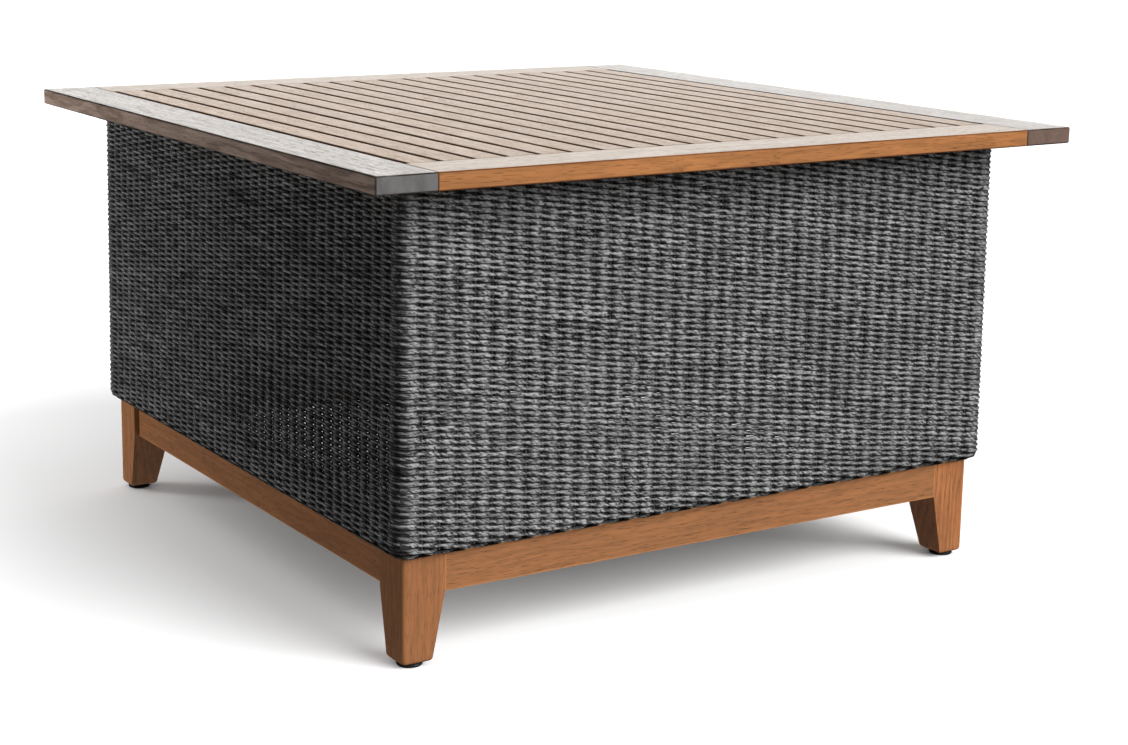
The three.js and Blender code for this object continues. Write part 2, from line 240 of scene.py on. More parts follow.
def wood(name, light, dark, end, edge, edge_amount, roughness, specular=0.5, warm_end=None, top_weather_and_sheen=None):
    """Oiled hardwood. It reads grain (metres along, across and through the board, measured from the heart
    of the log), tone (this board's own shade), rim (1 on a rounded edge) and cut (1 where the grain is cut
    across)."""
    look = Look(name, specular=specular)
    grain = look.attribute("grain", "Vector")
    tone = look.attribute("tone", "Fac")
    rim = look.attribute("rim", "Fac")
    cut = look.attribute("cut", "Fac")
    hue = look.maths("FRACT", look.maths("MULTIPLY", tone, 7.31))
    rings, fibres, pores, clouds = wood_pattern(look, grain)

    figure = look.maths("MULTIPLY", rings, 0.36)
    figure = look.maths("ADD", figure, look.between(fibres, 0.28, 0.72, 0, 0.50))
    base = look.mix(figure, light, dark)
    base = look.mix(look.between(clouds, 0.35, 0.7, 0, 0.4), base, dark)
    base = look.mix(look.between(tone, -1, 1, 0, 0.5), base, dark)
    # up-facing faces go paler: partly weathering, partly painted sheen
    if top_weather_and_sheen:
        base = pale_top_weather_and_sheen(look, base, top_weather_and_sheen, figure, tone)
    base = look.mix(look.maths("MULTIPLY", hue, 0.2), base, (0.42, 0.27, 0.13))
    base = look.mix(look.maths("MULTIPLY", pores, 0.5), base, (0.045, 0.022, 0.012))
    sawn = sawn_end(look, grain, tone, end, warm_end or end)
    base = look.mix(look.maths("MULTIPLY", cut, 0.95), base, sawn)
    # Edge colour on rounded edges: some wear, plus painted shade where dark and painted highlight where
    # pale
    edge_wear_and_light = look.between(clouds, 0.3, 0.6, 0.75, 1.0)
    edge_wear_and_light = look.maths("MULTIPLY", look.between(rim, 0.07, 0.4), edge_wear_and_light)
    base = look.mix(look.maths("MULTIPLY", edge_wear_and_light, edge_amount), base, edge)

    gloss = look.between(fibres, 0.3, 0.75, roughness - 0.06, roughness + 0.10)
    matt = look.maths("MULTIPLY", look.maths("MAXIMUM", pores, edge_wear_and_light), 0.35)
    height = look.maths("MULTIPLY", fibres, 0.6)
    height = look.maths("SUBTRACT", height, look.maths("MULTIPLY", pores, 0.7))
    height = look.maths("SUBTRACT", height, look.maths("MULTIPLY", rings, 0.25))
    height = look.maths("MULTIPLY", height, look.between(cut, 0, 1, 1.0, 0.2))
    return look.finish(base, look.maths("ADD", gloss, matt), height, 0.00022)


def wicker():
    """Twisted charcoal strand. It reads weave (metres along the row, down the skin and out of it) and tone.
    Where a strand sits deep in the skin, its colour is darkened: painted shade in the holes beside the
    stakes, in the valleys between the rows and under the bottom bend, where little light reaches."""
    black, painted_valley_shade = (0.001, 0.001, 0.001), (0.004, 0.004, 0.004)
    look = Look("wicker", specular=0.3)
    weave = look.attribute("weave", "Vector")
    tone = look.attribute("tone", "Fac")
    out = look.add("SeparateXYZ", {0: weave}, 2)
    turned = look.stretch(weave, (1, 1, 1), (0, 0, math.radians(-30)))
    strands = look.noise(look.stretch(turned, (130, 430, 250)), detail=4, roughness=0.7)
    flecks = look.noise(look.stretch(weave, (300, 520, 520)), detail=2)
    patches = look.noise(look.stretch(weave, (12, 20, 20)), detail=3)
    shade = look.between(strands, 0.38, 0.60)
    base = look.mix(shade, (0.012, 0.012, 0.012), (0.33, 0.33, 0.33))
    base = look.mix(look.between(tone, -1, 1, 0, 0.4), base, (0.03, 0.03, 0.03))
    base = look.mix(look.between(patches, 0.35, 0.7, 0, 0.25), base, (0.06, 0.06, 0.06))
    base = look.mix(look.between(flecks, 0.60, 0.72, 0, 0.5), base, (0.4, 0.4, 0.4))
    # painted shade in the valleys between the rows
    base = look.mix(look.between(out, 2.6 * MM, 3.6 * MM, 0.85, 0.0), base, painted_valley_shade)
    # painted shade in the holes beside the stakes and under the bottom bend
    base = look.mix(look.between(out, 0.9 * MM, 2.1 * MM, 1.0, 0.0), base, black)
    gloss = look.between(flecks, 0.3, 0.7, 0.32, 0.46)
    gloss = look.maths("MAXIMUM", gloss, look.between(out, 1.0 * MM, 3.0 * MM, 0.9, 0.3))
    height = look.maths("ADD", strands, look.maths("MULTIPLY", flecks, 0.25))
    return look.finish(base, gloss, height, 0.0009)


def powder_coat():
    """Charcoal powder coat with its fine orange peel."""
    look = Look("powder_coat")
    at = look.place()
    peel = look.noise(look.stretch(at, (900, 900, 900)), detail=2)
    dust = look.noise(look.stretch(at, (30, 30, 30)), detail=4, roughness=0.6)
    base = look.mix(look.between(dust, 0.4, 0.75, 0, 0.5), (0.035, 0.036, 0.038), (0.075, 0.073, 0.07))
    gloss = look.between(dust, 0.3, 0.7, 0.42, 0.6)
    return look.finish(base, gloss, peel, 0.00012)


def black_plastic():
    """Moulded black plastic, scuffed in fine scratches."""
    look = Look("black_plastic")
    at = look.place()
    texture = look.noise(look.stretch(at, (1600, 1600, 1600)), detail=2)
    scuffs = look.noise(look.stretch(at, (60, 900, 300), (0, 0, 0.6)), detail=2)
    base = look.mix(look.between(scuffs, 0.58, 0.72, 0, 0.6), (0.016, 0.016, 0.017), (0.07, 0.068, 0.066))
    gloss = look.between(scuffs, 0.4, 0.7, 0.38, 0.6)
    return look.finish(base, gloss, texture, 0.0001)


def metal(name, light, dark, roughness):
    """Turned metal: fine rings round the vertical axis and a little tarnish."""
    look = Look(name, metallic=1.0)
    at = look.place()
    rings = look.noise(look.stretch(at, (60, 60, 5200)), detail=1)
    tarnish = look.noise(look.stretch(at, (160, 160, 160)), detail=3)
    base = look.mix(look.between(tarnish, 0.4, 0.7), light, dark)
    gloss = look.between(tarnish, 0.35, 0.7, roughness, roughness + 0.2)
    return look.finish(base, gloss, rings, 0.00008)


def pale_floor():
    look = Look("pale_floor", specular=0.0)
    at = look.place()
    clouds = look.noise(look.stretch(at, (3, 3, 3)), detail=3)
    base = look.mix(clouds, (0.79, 0.79, 0.79), (0.81, 0.81, 0.81))
    gloss = look.between(clouds, 0.3, 0.7, 0.7, 0.8)
    return look.finish(base, gloss, look.noise(look.stretch(at, (200, 200, 200))), 0.0001)


# ---------------------------------------------------------------- pieces

def new_piece(name, mesh, material, body, slot, *replaced):
    mesh.materials.append(material)
    piece = bpy.data.objects.new(name, mesh)
    bpy.context.scene.collection.objects.link(piece)
    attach(piece, body)
    if replaced:
        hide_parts(*replaced)
    return piece


def mesh_from_quads(name, points, quads, attributes):
    """A smooth mesh from arrays of points and quads, with attributes of 1 or 3 numbers for each point."""
    mesh = bpy.data.meshes.new(name)
    mesh.vertices.add(len(points))
    mesh.vertices.foreach_set("co", np.asarray(points, np.float32).ravel())
    mesh.loops.add(4 * len(quads))
    mesh.loops.foreach_set("vertex_index", np.asarray(quads, np.int32).ravel())
    mesh.polygons.add(len(quads))
    mesh.polygons.foreach_set("loop_start", np.arange(0, 4 * len(quads), 4, dtype=np.int32))
    mesh.polygons.foreach_set("use_smooth", np.ones(len(quads), bool))
    for key, values in attributes.items():
        values = np.asarray(values, np.float32)
        kind, field = ("FLOAT_VECTOR", "vector") if values.ndim == 2 else ("FLOAT", "value")
        mesh.attributes.new(key, kind, "POINT").data.foreach_set(field, values.ravel())
    mesh.update()
    mesh.validate()
    return mesh


def ring_quads(index):
    """Quads between neighbouring rings, from point numbers index[..., ring, place round the ring]."""
    following = np.roll(index, -1, axis=-1)
    corners = [index[..., :-1, :], following[..., :-1, :], following[..., 1:, :], index[..., 1:, :]]
    return np.stack(corners, -1).reshape(-1, 4)


# ---------------------------------------------------------------- boards

TOP_ROUND = 2.2 * MM
SLAT_ROUND = 1.3 * MM
BATTEN_ROUND = 1.5 * MM
BASE_RAIL_ROUND = 1.2 * MM
TOP_OVERLAP = 1.3 * MM  # boards of the top reach this far under the rounded edge that they meet
BASE_OVERLAP = 0.8 * MM  # and base rails this far into the legs, so that joints are tight
STILE_TONES = (0.9, -0.9)
RIM_REACH = 0.9 * MM  # how far edge wear and painted edge shade and highlight fade inwards
BOW = 0.12 * MM  # how far a board's middle stands off its ends, as one standard deviation
ROUND_STEPS = 3
EDGE_BANDS = (1.5 * MM, 5 * MM)  # flat strips kept beside a rounded edge, so that its shading stays narrow
BOARD_STEP = 0.05


def stops(half, radius):
    """Grid lines from -half to half: close together round the edges, and BOARD_STEP apart between them."""
    flat = half - radius
    turns = [flat + radius * math.tan(math.radians(45 * i / ROUND_STEPS)) for i in range(ROUND_STEPS + 1)]
    bands = [flat - band for band in EDGE_BANDS if flat - band > 2 * MM]
    inner = bands[-1] if bands else flat
    count = 2 * math.ceil(inner / BOARD_STEP / 2)
    middle = np.linspace(-inner, inner, max(count, 2) + 1)[1:-1]
    outer = sorted(bands + turns)
    return np.array([-v for v in reversed(outer)] + list(middle) + outer)


def rounded_box(size, radius):
    """Points and quads of a box round the origin, with its edges and corners rounded off."""
    half = np.array(size) / 2
    lines = [stops(h, radius) for h in half]
    points, quads = [], []
    for axis in range(3):
        u_axis, v_axis = (axis + 1) % 3, (axis + 2) % 3
        for side in (-1, 1):
            u, v = np.meshgrid(lines[u_axis], lines[v_axis], indexing="ij")
            sheet = np.zeros((*u.shape, 3))
            sheet[..., u_axis] = u
            sheet[..., v_axis] = v
            sheet[..., axis] = side * half[axis]
            index = np.arange(u.size).reshape(u.shape) + sum(len(p) for p in points)
            quad = np.stack([index[:-1, :-1], index[1:, :-1], index[1:, 1:], index[:-1, 1:]], -1)
            quad = quad.reshape(-1, 4)
            points.append(sheet.reshape(-1, 3))
            quads.append(quad if side > 0 else quad[:, ::-1])
    points, quads = np.concatenate(points), np.concatenate(quads)
    microns = np.round(points / (0.001 * MM))
    _, first, same = np.unique(microns, axis=0, return_index=True, return_inverse=True)
    points, quads = points[first], same.reshape(-1)[quads]
    core = np.clip(points, radius - half, half - radius)
    out = points - core
    normals = out / np.linalg.norm(out, axis=1, keepdims=True)
    return core + radius * normals, quads, normals


def board(name, low, high, along, material, slot, radius, tone=None):
    """A solid board filling the box from low to high, with its grain along that axis (0, 1 or 2), in place
    of the node of that name."""
    low, high = np.array(low), np.array(high)
    size = high - low
    flat, quads, normals = rounded_box(size, radius)
    order = [along, (along + 1) % 3, (along + 2) % 3]
    heart = random.uniform((0, 0.02, 0.03), (40, 0.07, 0.09))
    heart[1:] *= random.choice((-1, 1), 2)
    drawn = random.uniform(-1, 1)
    grain = flat[:, order] + heart
    nearest = np.sort(size / 2 - np.abs(flat), axis=1)[:, 1]
    attributes = {
        "grain": grain,
        "tone": np.full(len(flat), drawn if tone is None else tone),
        "rim": np.exp(-np.maximum(nearest, 0) / RIM_REACH),
        "cut": np.abs(normals[:, along]) > 0.75,
    }
    reach = flat[:, along] / size[along]
    bow = random.normal(0, BOW, 3) * (along != np.arange(3))
    points = flat + (4 * reach**2 - 1)[:, None] * bow
    mesh = mesh_from_quads(name, points + (low + high) / 2, quads, attributes)
    new_piece(name, mesh, material, "table", slot, name)


def make_top(stile_wood, rail_wood, slat_wood, batten_wood):
    """The two long stiles, the rails between them, the slats between those, and the battens underneath."""
    stiles = {name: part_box(name) for name in ("top_stile_left", "top_stile_right")}
    for name, tone in zip(stiles, STILE_TONES):
        board(name, *stiles[name], 1, stile_wood, "top_wood", TOP_ROUND, tone)
    for name in ("top_rail_front", "top_rail_back"):
        low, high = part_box(name)
        low.x = stiles["top_stile_left"][1].x - TOP_OVERLAP
        high.x = stiles["top_stile_right"][0].x + TOP_OVERLAP
        board(name, low, high, 0, rail_wood, "rail_wood", TOP_ROUND)
    slat_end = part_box("top_rail_back")[0].y + TOP_OVERLAP
    for name in SLATS:
        low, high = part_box(name)
        low.y, high.y = -slat_end, slat_end
        board(name, low, high, 1, slat_wood, "top_wood", SLAT_ROUND)
    for place in ("front", "middle", "back"):
        name = "top_batten_" + place
        board(name, *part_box(name), 0, batten_wood, "batten_wood", BATTEN_ROUND)


# ---------------------------------------------------------------- base

LEG_OUTER_ROUND = 5 * MM
LEG_INNER_ROUND = 0.5 * MM
LEG_END_ROUND = 4.5 * MM
LEG_EDGE_FADE = 5 * MM  # how far wear and the painted highlight fade inwards from a leg's outer edge
LEG_TONES = (0.9, -0.9, 0.2, -0.7)  # in the order of CORNERS
FOOT_WIDTH = 35 * MM
CORNER_STEPS = 5


def leg_outline(width):
    """A square outline from (0, 0) to (width, width), going round its corners. The one at the origin is the
    outer one, and is rounded the most."""
    points = []
    corners = [(0, 0), (width, 0), (width, width), (0, width)]
    for number, corner in enumerate(corners):
        radius = LEG_OUTER_ROUND if number == 0 else LEG_INNER_ROUND
        towards = [Vector(corners[number - 1]), Vector(corners[(number + 1) % 4])]
        start, end = (Vector(corner) + (other - Vector(corner)).normalized() * radius for other in towards)
        centre = start + end - Vector(corner)
        first = math.atan2(start.y - centre.y, start.x - centre.x)
        for step in range(CORNER_STEPS + 1):
            angle = first + QUARTER_TURN * step / CORNER_STEPS
            points.append((centre.x + radius * math.cos(angle), centre.y + radius * math.sin(angle)))
        gap = Vector(corners[(number + 1) % 4]) - Vector(corner)
        points += [tuple(Vector(corner) + gap * share) for share in (0.15, 0.5, 0.85)]
    return np.array(points)


def leg_levels(foot, rail_bottom, top):
    """(height, inset) pairs up a leg: rounded at its foot and softened at its top."""
    levels = []
    for angle in np.linspace(math.pi / 2, 0, 5):
        levels.append((foot + LEG_END_ROUND * (1 - math.sin(angle)), LEG_END_ROUND * (1 - math.cos(angle))))
    levels += [(z, 0.0) for z in np.linspace(foot + 8 * MM, rail_bottom - 1 * MM, 7)]
    straight = (rail_bottom, rail_bottom + 2 * MM, (rail_bottom + top) / 2, top - 3 * MM, top - 1 * MM)
    levels += [(z, 0.0) for z in straight]
    return levels + [(top - 0.3 * MM, 0.15 * MM), (top, 1 * MM)]


def leg_rings(width, foot, rail_bottom, top):
    """Points [level, place round the outline], narrowing below the rails on the two inner faces."""
    rings = []
    for height, inset in leg_levels(foot, rail_bottom, top):
        down = min(max((rail_bottom - height) / (rail_bottom - foot), 0), 1)
        here = width + (FOOT_WIDTH - width) * down
        ring = leg_outline(here)
        ring = here / 2 + (ring - here / 2) * (1 - 2 * inset / here)
        rings.append(np.column_stack([ring, np.full(len(ring), height)]))
    return np.array(rings)


def leg_piece(corner, tone, material):
    """A leg that keeps its full width down to the rails and narrows to its foot on its two inner faces."""
    name = "leg_" + corner
    low, high = (np.array(v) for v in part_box(name))
    foot, top = low[2], high[2]
    rings = leg_rings(high[0] - low[0], foot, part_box("base_rail_front")[0].z, top)
    points = rings.reshape(-1, 3)
    index = np.arange(len(points)).reshape(rings.shape[:2])
    count = rings.shape[1]
    pairs = np.arange(count // 2 - 1)
    cap = np.stack([pairs, pairs + 1, count - 2 - pairs, count - 1 - pairs], -1)
    quads = np.concatenate([ring_quads(index), cap[:, ::-1], cap + index[-1, 0]])
    from_outer_edge = np.abs(points[:, :2]).max(axis=1)
    attributes = {
        "grain": points[:, [2, 0, 1]] + random.uniform((0, 0.02, 0.03), (40, 0.05, 0.06)),
        "tone": np.full(len(points), tone),
        # the outer edge takes the pale edge colour: a painted highlight, with some wear
        "rim": 0.35 * np.exp(-from_outer_edge / LEG_EDGE_FADE),
        "cut": np.abs(points[:, 2] - (foot + top) / 2) > (top - foot) / 2 - 0.5 * MM,
    }
    spin = CORNERS.index(corner) * QUARTER_TURN
    cos, sin = math.cos(spin), math.sin(spin)
    outer = np.array([-1.0, -1.0]) * max(abs(low[0]), abs(high[0]))
    points[:, :2] = (points[:, :2] + outer) @ np.array([[cos, sin], [-sin, cos]])
    mesh = mesh_from_quads(name, points, quads, attributes)
    new_piece(name, mesh, material, "table", "base_wood", name)


def make_base(material):
    for corner, tone in zip(CORNERS, LEG_TONES):
        leg_piece(corner, tone, material)
    rail_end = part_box("leg_front_right")[0].x + BASE_OVERLAP
    for side in SIDES:
        name = "base_rail_" + side
        low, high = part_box(name)
        along = 0 if side in ("front", "back") else 1
        low[along], high[along] = -rail_end, rail_end
        board(name, low, high, along, material, "base_wood", BASE_RAIL_ROUND)


# ---------------------------------------------------------------- woven skin

skin_low, skin_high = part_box("wicker_front")
SKIN_HALF = -skin_low.y
SKIN_LIP_HALF = -skin_high.y
SKIN_TOP = skin_high.z
SKIN_BOTTOM = skin_low.z
STRAND_RADIUS = 2.05 * MM
WEAVE_DEPTH = 1.65 * MM  # how far a strand stands out as it passes a stake
SKIN_FLARE = 4 * MM  # how much further out the skin stands at its bottom than at its top
SKIN_MIDDLE = WEAVE_DEPTH + STRAND_RADIUS  # depth of the skin's mid surface
CORNER_ROUND = 8 * MM - SKIN_MIDDLE
BOTTOM_ROUND = 10 * MM - SKIN_MIDDLE
TIGHTEST_ROUND = 2 * MM
SLACK_SIDE = "left"
SLACK_PLACE = (210 * MM, 295 * MM)  # along that side and down it: where light shows beside the stakes
SLACK_SIZE = (210 * MM, 55 * MM)
SLACK = 0.45  # how much thinner a strand is there as it passes a stake
BULGE = 0.55  # how much fatter a strand is between stakes than at them, as a share of its slant
SLANTS = (0.7 * MM, 0.7 * MM, 0.7 * MM, 0.0)  # how far a strand falls on each side as it passes a stake
DIP_SHARPNESS = 7  # 1 would be an even wave; higher keeps the strand out for longer and dips it faster
MITRE_FADE = 8 * MM  # under the skin, the weave flattens by this far from a mitre
FIRM_TOP = 6 * MM  # rows this near the top sag less
STAKES_PER_SIDE = 38
STAKE_RADIUS = 1.25 * MM
ROW_PITCH = 3.24 * MM
STEP_SHARES = (0, 0.12, 0.25, 0.5, 0.75, 0.88)  # of a stake pitch: closest together where the strand dips
STRAND_SIDES = 8
BANDS_PER_SIDE = 3
HALF_STRAIGHT = SKIN_HALF - SKIN_MIDDLE - CORNER_ROUND
HALF_SIDE = HALF_STRAIGHT + CORNER_ROUND * math.pi / 4  # along the skin from a side's middle to its corner
STAKE_PITCH = 2 * HALF_SIDE / STAKES_PER_SIDE
STRAIGHT_DROP = SKIN_TOP - SKIN_BOTTOM - SKIN_MIDDLE - BOTTOM_ROUND
BEND_LENGTH = BOTTOM_ROUND * math.pi / 2
LIP_LENGTH = SKIN_HALF - SKIN_MIDDLE - BOTTOM_ROUND - SKIN_LIP_HALF - STRAND_RADIUS
SKIN_LENGTH = STRAIGHT_DROP + BEND_LENGTH + LIP_LENGTH
ROWS = int((SKIN_LENGTH - STRAND_RADIUS) / ROW_PITCH) + 1


def skin_profile(down):
    """Half the skin's width, its height and the angle it has bent through, at a distance down it."""
    angle = np.clip((down - STRAIGHT_DROP) / BOTTOM_ROUND, 0, math.pi / 2)
    under = np.maximum(down - STRAIGHT_DROP - BEND_LENGTH, 0)
    flare = SKIN_FLARE * np.minimum(down / STRAIGHT_DROP, 1)
    half = SKIN_HALF - SKIN_MIDDLE + flare - BOTTOM_ROUND * (1 - np.cos(angle)) - under
    height = SKIN_TOP - np.minimum(down, STRAIGHT_DROP) - BOTTOM_ROUND * np.sin(angle)
    return half, height, angle


def skin_point(along, down, out, side):
    """Points at a distance along a side from its middle, down from the top and out from the mid surface.

    Gives the points, the direction out of the skin and the direction down it."""
    half, height, angle = skin_profile(down)
    corner = np.maximum(CORNER_ROUND - (SKIN_HALF - SKIN_MIDDLE - half), TIGHTEST_ROUND)
    straight = half - corner
    turn = np.clip((np.abs(along) - straight) / (HALF_SIDE - straight), 0, 1) * math.pi / 4
    sign = np.sign(along)
    x = np.where(turn > 0, sign * (straight + corner * np.sin(turn)), along)
    y = -(straight + corner * np.cos(turn))
    away = np.stack([sign * np.sin(turn), -np.cos(turn), np.zeros_like(turn)], -1)
    up = np.array([0.0, 0.0, 1.0])
    cos, sin = np.cos(angle)[..., None], np.sin(angle)[..., None]
    outward = away * cos - up * sin
    downward = -away * sin - up * cos
    points = np.stack([x, y, height + 0 * x], -1) + outward * out[..., None]
    spin = SIDES.index(side) * QUARTER_TURN
    across, back = math.cos(spin), math.sin(spin)
    turned = np.array([[across, back, 0], [-back, across, 0], [0, 0, 1]])
    return points @ turned, outward @ turned, downward @ turned


def tubes(centres, first, second, radii, sides):
    """Tubes through centres[tube, step]. first and second are the two directions of each section, in an
    order that makes first x second point on along the tube."""
    turn = np.arange(sides) * 2 * math.pi / sides
    spokes = first[:, :, None] * np.cos(turn)[:, None] + second[:, :, None] * np.sin(turn)[:, None]
    points = centres[:, :, None] + spokes * radii[:, :, None, None]
    index = np.arange(points[..., 0].size).reshape(points.shape[:3])
    return points, ring_quads(index), spokes, turn


def wander(size, reach, row_reach):
    """Random drift for each row at each stake round the loop, smoothed over that many stakes and rows."""
    raw = random.normal(size=(ROWS, 4 * STAKES_PER_SIDE))
    rows, stakes = np.fft.fftfreq(raw.shape[0]), np.fft.rfftfreq(raw.shape[1])
    keep = np.exp(-((rows[:, None] * row_reach) ** 2) - (stakes * reach) ** 2)
    drift = np.fft.irfft2(np.fft.rfft2(raw) * keep, raw.shape)
    return size * drift / drift.std()


def at_stakes(drift, along, side):
    """The drift at places along one side, eased from stake to stake."""
    place = (along + HALF_SIDE) / STAKE_PITCH + SIDES.index(side) * STAKES_PER_SIDE
    before = np.floor(place).astype(int)
    share = place - before
    share = share * share * (3 - 2 * share)
    count = drift.shape[1]
    return drift[:, before % count] * (1 - share) + drift[:, (before + 1) % count] * share


def strand_radii(swell, along, down, phase, side, slant):
    """Fatter between the stakes where strands slant, and thinner beside the stakes where light shows."""
    bulge = BULGE * slant * np.abs(np.sin(phase))
    radii = STRAND_RADIUS * (1 + at_stakes(swell, along, side)) + bulge
    if side != SLACK_SIDE:
        return radii
    off_along = (along - SLACK_PLACE[0]) / SLACK_SIZE[0]
    off_down = (down - SLACK_PLACE[1]) / SLACK_SIZE[1]
    patch = np.exp(-(off_along**2) - off_down**2)
    return radii * (1 - SLACK * patch * np.cos(phase) ** 4)


def strand_paths():
    """Every row as a closed loop round the body, in front of one stake and behind the next.

    Gives [row, step, number], where the numbers are the place (3), the direction down the skin (3), the
    radius, how far round the body and down it the strand is, how deep it sits for the painted shade (out of
    the skin, and lowered under the bottom bend), and its tone."""
    sag = wander(0.45 * MM, 9, 26)
    jog = wander(0.13 * MM, 0.5, 0.5)
    push = wander(0.22 * MM, 1.0, 1.0)
    swell = wander(0.045, 1.5, 1.0)
    tone = wander(0.55, 4, 0.3)
    rows = np.arange(ROWS)[:, None]
    down = STRAND_RADIUS + rows * ROW_PITCH
    along = ((np.arange(STAKES_PER_SIDE)[:, None] + STEP_SHARES) * STAKE_PITCH - HALF_SIDE).ravel()
    under = np.clip((down - STRAIGHT_DROP) / BEND_LENGTH, 0, 1)
    parity = np.where(rows % 2, 1.0, -1.0)
    phase = math.pi * (along / STAKE_PITCH + STAKES_PER_SIDE / 2)
    behind = (1 - np.cos(phase) * parity) / 2
    near_corner = np.exp(-(((HALF_SIDE - np.abs(along)) / (0.5 * STAKE_PITCH)) ** 2))
    wave = 1 - 2 * behind**DIP_SHARPNESS * (1 - 0.6 * near_corner)
    to_mitre = np.clip((skin_profile(down)[0] - np.abs(along)) / MITRE_FADE, 0, 1)
    depth = WEAVE_DEPTH * (1 - under * (1 - to_mitre))
    loops = []
    for side, slant in zip(SIDES, SLANTS):
        out = wave * depth + at_stakes(push, along, side) * (1 - under)
        out = np.clip(out, -WEAVE_DEPTH, WEAVE_DEPTH)
        drift = at_stakes(sag, along, side) + at_stakes(jog, along, side) + slant * np.sin(phase) * parity
        drift = drift * (1 - under)
        level = down + drift * np.where(down < FIRM_TOP, 0.3, 1.0)
        radii = strand_radii(swell, along, down, phase, side, slant)
        run = along + 2 * HALF_SIDE * SIDES.index(side) + 0 * level
        points, _, downward = skin_point(along + 0 * level, level, out, side)
        # how deep the strand sits, for the wicker's painted shade: lowered under the bottom bend to paint
        # shade there
        shade_depth = out - 2.5 * MM * under**2
        numbers = np.stack([radii, run, level, shade_depth, at_stakes(tone, along, side)], -1)
        loops.append(np.concatenate([points, downward, numbers], -1))
    return np.concatenate(loops, axis=1)


def make_strands(material):
    """The rows of the weave, cut into a few bands of rows on each side."""
    loop = strand_paths()
    centres, downward = loop[..., :3], loop[..., 3:6]
    step = np.roll(centres, -1, axis=1) - np.roll(centres, 1, axis=1)
    outward = np.cross(downward, step)
    outward /= np.linalg.norm(outward, axis=-1, keepdims=True)
    steps = loop.shape[1] // len(SIDES)
    for number, side in enumerate(SIDES):
        part = np.arange(number * steps, (number + 1) * steps + 1) % loop.shape[1]
        for band, rows in enumerate(np.array_split(np.arange(ROWS), BANDS_PER_SIDE)):
            here = np.ix_(rows, part)
            radii, run, level, out, tones = (loop[here][..., 6 + i, None] for i in range(5))
            run = np.where(run < run[:1, :1], run + 8 * HALF_SIDE, run)
            points, quads, spokes, turn = tubes(
                centres[here], outward[here], downward[here], radii[..., 0], STRAND_SIDES
            )
            # the third number sets the wicker's painted shade
            weave = [run + 0 * turn, level + radii * np.sin(turn), out + radii * np.cos(turn)]
            weave = np.stack(weave, -1).reshape(-1, 3)
            name = f"weave_{side}_{band + 1}"
            attributes = {"weave": weave, "tone": (tones + 0 * turn).ravel()}
            mesh = mesh_from_quads(name, points.reshape(-1, 3), quads, attributes)
            mesh.normals_split_custom_set_from_vertices(spokes.reshape(-1, 3))
            new_piece(name, mesh, material, "table", "wicker", "wicker_" + side)


def make_stakes(material):
    """The upright stakes that the rows pass in front of and behind."""
    numbers = np.arange(1 - STAKES_PER_SIDE // 2, STAKES_PER_SIDE // 2 + 1)
    along = numbers * STAKE_PITCH
    flat = skin_profile(STRAIGHT_DROP + BEND_LENGTH)[0]
    room = np.clip(flat - np.abs(along) - 2 * MM, 2 * MM, LIP_LENGTH)
    room[-1] = LIP_LENGTH
    drop = np.linspace(1 * MM, STRAIGHT_DROP, 30)
    bend = STRAIGHT_DROP + BEND_LENGTH * np.linspace(0, 1, 6)[1:]
    lip = STRAIGHT_DROP + BEND_LENGTH + room[:, None] * np.linspace(0, 1, 4)[1:]
    down = np.concatenate([np.tile(np.concatenate([drop, bend]), (len(along), 1)), lip], axis=1)
    for side in SIDES:
        lean = random.normal(0, 0.25 * MM, (len(along), 1)) * np.sin(down / SKIN_LENGTH * 9)
        lean[-1] = 0
        centres, outward, downward = skin_point(along[:, None] + lean, down, np.zeros_like(down), side)
        second = np.cross(downward, outward)
        radii = np.full(down.shape, STAKE_RADIUS)
        points, quads, _, turn = tubes(centres, outward, second, radii, STRAND_SIDES)
        run = down[:, :, None] + 0 * turn
        round_body = (along + 2 * HALF_SIDE * SIDES.index(side))[:, None, None]
        width = round_body + STAKE_RADIUS * np.sin(turn) + 0 * run
        # the third number sets the wicker's painted shade, kept high so the stakes aren't painted dark
        weave = np.stack([run, width, STAKE_RADIUS * (1.4 + np.cos(turn)) + 0 * run], -1)
        name = "stakes_" + side
        attributes = {"weave": weave.reshape(-1, 3), "tone": np.full(points[..., 0].size, 0.3)}
        mesh = mesh_from_quads(name, points.reshape(-1, 3), quads, attributes)
        new_piece(name, mesh, material, "table", "wicker", "wicker_" + side)


# ---------------------------------------------------------------- glides and screws

def turned_solid(name, outline, segments):
    """A solid turned round the vertical axis, from (radius, height) points that begin and end on it."""
    shape = bmesh.new()
    rings = []
    for radius, height in outline[1:-1]:
        turn = np.arange(segments) * 2 * math.pi / segments
        rings.append([shape.verts.new((radius * math.cos(a), radius * math.sin(a), height)) for a in turn])
    ends = [shape.verts.new((0, 0, outline[0][1])), shape.verts.new((0, 0, outline[-1][1]))]
    for i in range(segments):
        j = (i + 1) % segments
        shape.faces.new((ends[0], rings[0][j], rings[0][i]))
        shape.faces.new((ends[1], rings[-1][i], rings[-1][j]))
        for low, high in zip(rings, rings[1:]):
            shape.faces.new((low[i], low[j], high[j], high[i]))
    for face in shape.faces:
        face.smooth = True
    mesh = bpy.data.meshes.new(name)
    shape.to_mesh(mesh)
    shape.free()
    return mesh


def rounded_outline(corners, radius, steps=3):
    """(radius, height) points with every inner corner of the list rounded."""
    points = [corners[0]]
    for before, corner, after in zip(corners, corners[1:], corners[2:]):
        before, corner, after = Vector(before), Vector(corner), Vector(after)
        start = corner + (before - corner).normalized() * min(radius, (before - corner).length / 2)
        end = corner + (after - corner).normalized() * min(radius, (after - corner).length / 2)
        for i in range(steps + 1):
            t = i / steps
            points.append(tuple(start * (1 - t) ** 2 + corner * 2 * t * (1 - t) + end * t**2))
    return points + [corners[-1]]


